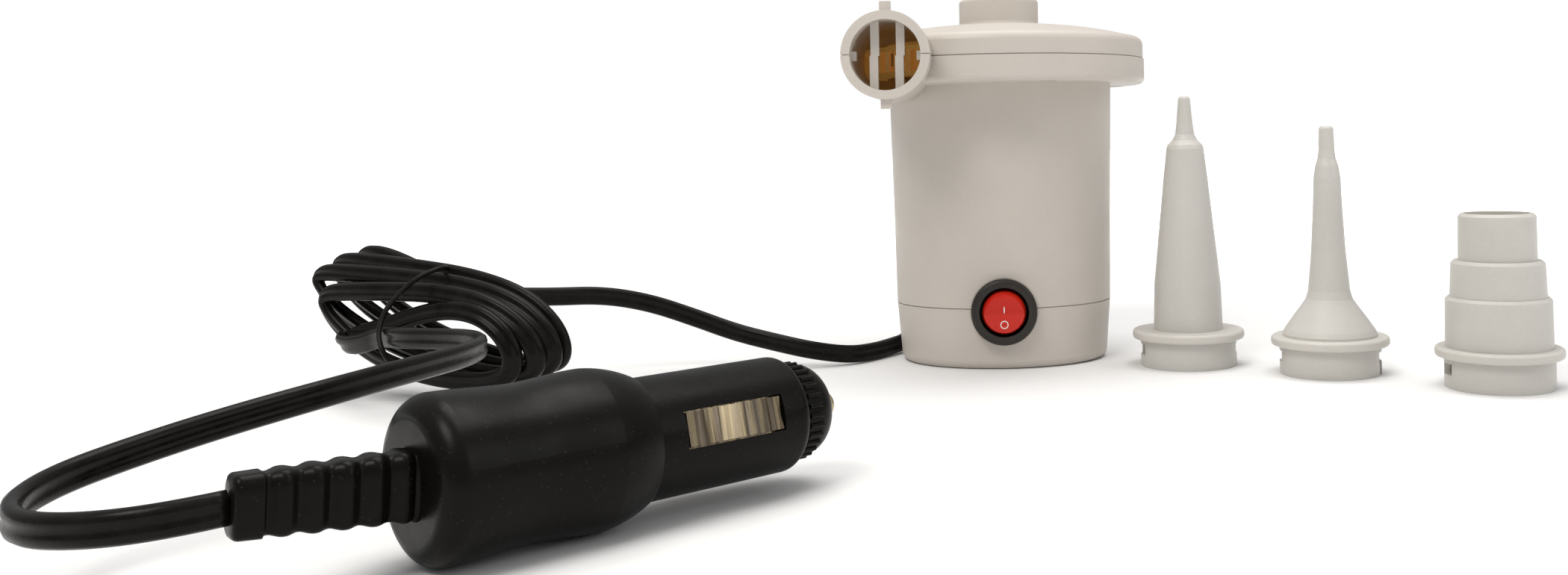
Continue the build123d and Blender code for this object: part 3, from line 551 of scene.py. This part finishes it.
def last_half_turn():
    """From the right of the front turn over its top to the low loop at the left and the tail."""
    stations = [
        (31.5, -8.2, 20.0), (24.0, -8.0, 24.4), (14.0, -8.0, 25.2), (4.0, -8.0, 23.0),
        (-5.0, -7.6, 19.4), (-13.0, -7.0, 17.0), (-19.5, -6.4, 16.6), (-24.0, -7.6, 15.8),
        (-22.6, -11.0, 14.0), (-15.0, -13.8, 13.6), (-7.6, -15.4, 14.8),
    ]
    return [hank_point(*station) for station in stations]


def eased(points, passes=2):
    """Points pulled toward their neighbours, which rounds the bends."""
    for _ in range(passes):
        inner = [(a + b * 2.0 + c) * 0.25 for a, b, c in zip(points, points[1:], points[2:])]
        points = [points[0]] + inner + [points[-1]]
    return points


def cord_route():
    """Lead, hank and tail, from the pump to the plug."""
    lead = [Vector(p) for p in LEAD_ROUTE]
    tail = [Vector(p) for p in reversed(TAIL_ROUTE)]
    wound = eased([lead[-1]] + hank_points() + last_half_turn() + [tail[0]])
    return lead, wound[1:-1], tail


def cord_profile():
    """Section of the flat twin cord: (across its width, across its thickness)."""
    lobe, half = CORD_THICK / 2, CORD_WIDTH / 2 - CORD_THICK / 2
    edge_steps, face_steps = 5, 6
    face = []
    for i in range(-face_steps + 1, face_steps):
        x = half * i / face_steps
        face.append((x, lobe - CORD_GROOVE * (1 + cos(pi * x / half)) / 2))
    outline = []
    for side in (1, -1):
        outline += [(side * x, side * y) for x, y in face]
        for i in range(edge_steps + 1):
            angle = side * pi / 2 - pi * i / edge_steps
            outline.append((side * half + lobe * cos(angle), lobe * sin(angle)))
    return outline


def width_guides(line, lead_end, tail_start):
    """Tangent and width direction at each point: upright off the hank, leaning on it."""
    guides = []
    for i, here in enumerate(line):
        ahead = line[min(i + 1, len(line) - 1)]
        behind = line[max(i - 1, 0)]
        tangent = (ahead - behind).normalized()
        if lead_end <= i <= tail_start:
            raw = HANK_DEEP * cos(HANK_LEAN) - tangent.cross(HANK_DEEP) * sin(HANK_LEAN)
        else:
            raw = UP if i < lead_end else -UP
        guides.append((tangent, raw))
    smooth = []
    for i, (tangent, _) in enumerate(guides):
        low, high = max(0, i - WIDTH_EASE), min(len(guides) - 1, i + WIDTH_EASE)
        total = Vector()
        for j in range(low, high + 1, 2):
            total += guides[j][1]
        across = total - tangent * total.dot(tangent)
        smooth.append((tangent, across.normalized()))
    return smooth


def add_cord():
    """The whole cord as one piece, and its centre line."""
    lead, hank, tail = cord_route()
    line = spline_points([p * MM for p in lead + hank + tail], ROUTE_RESOLUTION)
    lead_end = ROUTE_RESOLUTION * (len(lead) - 2)
    tail_start = len(line) - ROUTE_RESOLUTION * len(tail)
    rings = []
    profile = cord_profile()
    for here, (tangent, across) in zip(line, width_guides(line, lead_end, tail_start)):
        face = tangent.cross(across)
        rings.append([here + across * x + face * y for x, y in profile])
    cord = new_piece("cord", skin(rings), "cord_black")
    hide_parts("cord_lead", "cord_hank", "cord_tail")
    return cord, line


TIE_RADIUS = 0.62
TIE_SIDES = 10
TIE_RESOLUTION = 5               # rings of the tie to each station
# Stations along the tie: along, deep and height in the hank.
TIE_STATIONS = [
    (4.6, -1.0, 33.2), (4.0, -7.8, 31.8), (2.4, -13.4, 28.0), (2.2, -18.2, 23.4),
    (4.4, -21.9, 18.4), (7.6, -22.6, 13.6), (8.2, -18.4, 9.6), (4.0, -9.6, 6.8),
    (-2.0, -1.2, 6.4), (-8.0, 6.0, 9.2), (-12.0, 10.0, 16.0), (-11.6, 10.2, 24.0),
    (-4.4, 6.4, 30.8),
]


def closed_curve(points, resolution):
    """Smooth closed curve (Catmull-Rom) through the points."""
    count, curve = len(points), []
    for i in range(count):
        before, here, ahead, after = (points[(i + k) % count] for k in (-1, 0, 1, 2))
        for step in range(resolution):
            t = step / resolution
            curve.append(0.5 * (2 * here + (ahead - before) * t
                                + (2 * before - 5 * here + 4 * ahead - after) * t ** 2
                                + (3 * here - before - 3 * ahead + after) * t ** 3))
    return curve


def add_tie():
    """Thin wire tie round the hank and the strand in front of it."""
    line = closed_curve([hank_point(*station) * MM for station in TIE_STATIONS], TIE_RESOLUTION)
    rings = []
    for i, here in enumerate(line):
        tangent = (line[(i + 1) % len(line)] - line[i - 1]).normalized()
        side = tangent.cross(HANK_ALONG).normalized()
        other = tangent.cross(side)
        rings.append(oval(here, side, other, TIE_RADIUS * MM, TIE_RADIUS * MM, TIE_SIDES))
    tie = new_piece("tie_wire", skin(rings, loop=True), "cord_black")
    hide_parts("twist_tie")
    return tie


# ------------------------------------------------------------------ plug
PLUG_REAR = Vector((-88.7, -195.2, 13.4))
RELIEF_HEADING = radians(42.0)
RELIEF_LIFT = radians(-2.9)
RELIEF_LENGTH = 24.0
RELIEF_SUNK = 1.0                # how far its front end reaches into the grip
RELIEF_RINGS = 112
RELIEF_HALF = (3.8, 5.35)        # half width and half height at the grip
RELIEF_TAPER = (0.75, 0.85)      # and how much smaller they are at the cord
RIB_PITCH = 4.0
GROOVE_DEPTH = (0.85, 0.36)      # between the ribs, at the sides and at the top and bottom
GROOVE_PHASE = 0.86
GROOVE_SHARPNESS = 1.3
END_ROUNDING = (0.9, 0.85)       # length and depth of the rounding at the cord's end
RING_POINTS = 40
SQUARENESS = 4.5                 # 2 gives an ellipse, more gives a squarer ring


def rounded_box_ring(place, side, other, half_side, half_other):
    """Ring in the shape of a rounded rectangle."""
    ring = []
    for k in range(RING_POINTS):
        angle = 2 * pi * (k + 0.5) / RING_POINTS
        c, s = cos(angle), sin(angle)
        reach = (abs(c) ** SQUARENESS + abs(s) ** SQUARENESS) ** (-1.0 / SQUARENESS)
        ring.append(place + side * half_side * c * reach + other * half_other * s * reach)
    return ring


def relief_halves(back):
    """Half width and half height of the strain relief at a distance back from the grip."""
    share = back / RELIEF_LENGTH
    ribbed = 0 < back < RELIEF_LENGTH - RIB_PITCH
    phase = (back / RIB_PITCH) % 1.0 - GROOVE_PHASE
    groove = (0.5 + 0.5 * cos(2 * pi * phase)) ** GROOVE_SHARPNESS if ribbed else 0.0
    rounding_length, rounding_depth = END_ROUNDING
    ease = max(0.0, 1.0 - (RELIEF_LENGTH - back) / rounding_length)
    tuck = rounding_depth * (1.0 - sqrt(max(0.0, 1.0 - ease * ease)))
    sizes = zip(RELIEF_HALF, RELIEF_TAPER, GROOVE_DEPTH)
    return [half - taper * share - depth * groove - tuck for half, taper, depth in sizes]


def add_strain_relief():
    """Ribbed tail of the plug: ribs that are deep at its sides, and a plain end at the cord."""
    ahead = Vector((cos(RELIEF_HEADING) * cos(RELIEF_LIFT),
                    sin(RELIEF_HEADING) * cos(RELIEF_LIFT), sin(RELIEF_LIFT)))
    side = Vector((sin(RELIEF_HEADING), -cos(RELIEF_HEADING), 0.0))
    other = ahead.cross(side)
    rings = []
    for i in range(RELIEF_RINGS + 1):
        back = -RELIEF_SUNK + (RELIEF_LENGTH + RELIEF_SUNK) * i / RELIEF_RINGS
        ring = rounded_box_ring(PLUG_REAR - ahead * back, side, other, *relief_halves(back))
        rings.append([p * MM for p in ring])
    relief = new_piece("strain_relief", skin(rings), "plug_black")
    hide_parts("plug_strain_relief")
    return relief


# ------------------------------------------------------------------ switch marks
ROCKER_PIVOT = Vector((0.0, -24.6, 16.0))
ROCKER_TILT = radians(10.0)
ROCKER_FACE = 2.9
MARK_SUNK, MARK_PROUD = 0.02, 0.05
MARK_POINTS = 48
# Each mark: distance up from the rocker's valley, then half width and half height of its outlines.
BAR_MARK = (1.35, (0.01, 0.9), (0.17, 1.06))
RING_MARK = (-2.8, (0.86, 0.86), (1.10, 1.10))


def add_print(mesh, inner, outer, outward):
    """Thin closed band between two outlines, sunk a little into the face it is printed on."""
    sunk, proud = outward * -MARK_SUNK, outward * MARK_PROUD
    rims = [(inner, sunk), (outer, sunk), (outer, proud), (inner, proud)]
    loops = [[mesh.verts.new((point + shift) * MM) for point in outline] for outline, shift in rims]
    for here, there in zip(loops, loops[1:] + loops[:1]):
        for k in range(len(inner)):
            after = (k + 1) % len(inner)
            mesh.faces.new((here[k], here[after], there[after], there[k]))


def add_switch_marks():
    """Printed bar and ring on the two faces of the rocker, for on and off."""
    rest = Matrix.Rotation(ROCKER_TILT, 3, "X")
    valley = ROCKER_PIVOT + rest @ Vector((0.0, -ROCKER_FACE, 0.0))
    across = Vector((1.0, 0.0, 0.0))
    up_on_upper_face = Matrix.Rotation(2 * ROCKER_TILT, 3, "X") @ UP
    mesh = bmesh.new()
    for up, (rise, inner, outer) in ((up_on_upper_face, BAR_MARK), (UP, RING_MARK)):
        centre = valley + up * rise
        outlines = [oval(centre, across, up, *halves, MARK_POINTS) for halves in (inner, outer)]
        add_print(mesh, *outlines, across.cross(up).normalized())
    bmesh.ops.recalc_face_normals(mesh, faces=mesh.faces)
    data = bpy.data.meshes.new("switch_marks")
    mesh.to_mesh(data)
    mesh.free()
    piece = bpy.data.objects.new("switch_marks", data)
    bpy.context.scene.collection.objects.link(piece)
    data.materials.append(moulded("print_white", (0.82, 0.80, 0.76), 0.5))
    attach(piece, "rocker")


add_camera()
add_stage()
dress_cad_nodes()
cord, cord_line = add_cord()
tie = add_tie()
relief = add_strain_relief()
add_switch_marks()
